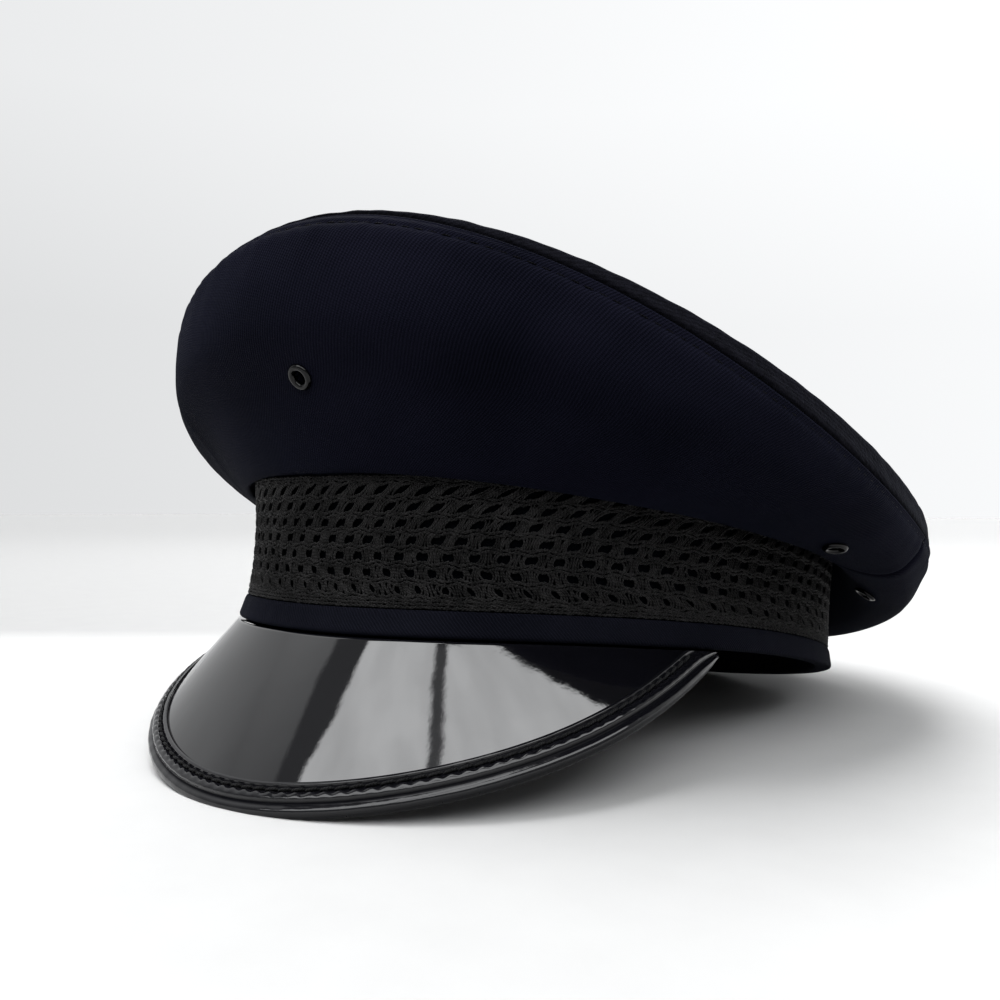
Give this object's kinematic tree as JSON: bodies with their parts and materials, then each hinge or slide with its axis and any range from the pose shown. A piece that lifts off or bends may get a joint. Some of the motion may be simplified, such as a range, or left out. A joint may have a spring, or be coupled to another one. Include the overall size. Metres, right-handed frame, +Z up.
{
  "type": "peaked uniform cap",
  "caption": "Peaked uniform cap: flared cloth crown, upright band with openwork woven braid, glossy bound visor and small black eyelets.",
  "frame": {"origin": "centre of the cap's footprint on the surface where it rests on its visor's edge and the back of its hem", "axes": "+Z up, -Y towards the visor, +X towards the wearer's left; the rim's plane is tipped back about ten degrees"},
  "size_m": [0.2326, 0.276, 0.137],
  "materials": {
    "top_cloth": "fuzzy near-black wool cloth",
    "side_cloth": "very dark navy wool twill",
    "wall_cloth": "plain black cloth over stiff board",
    "braid": "black openwork braid with a slight sheen",
    "patent": "black patent, mirror gloss, satin at its rolled edge",
    "enamel": "black enamelled eyelet"
  },
  "bodies": {
    "root": {"crown_top": "top_cloth", "crown_front": "side_cloth", "crown_back": "side_cloth", "band_wall": "wall_cloth", "band_braid": "braid", "band_hem": "side_cloth", "visor": "patent", "visor_binding": "patent", "badge_eyelet": "enamel", "vent_eyelet_left_front": "enamel", "vent_eyelet_left_back": "enamel", "vent_eyelet_right_front": "enamel", "vent_eyelet_right_back": "enamel"}
  },
  "joints": []
}
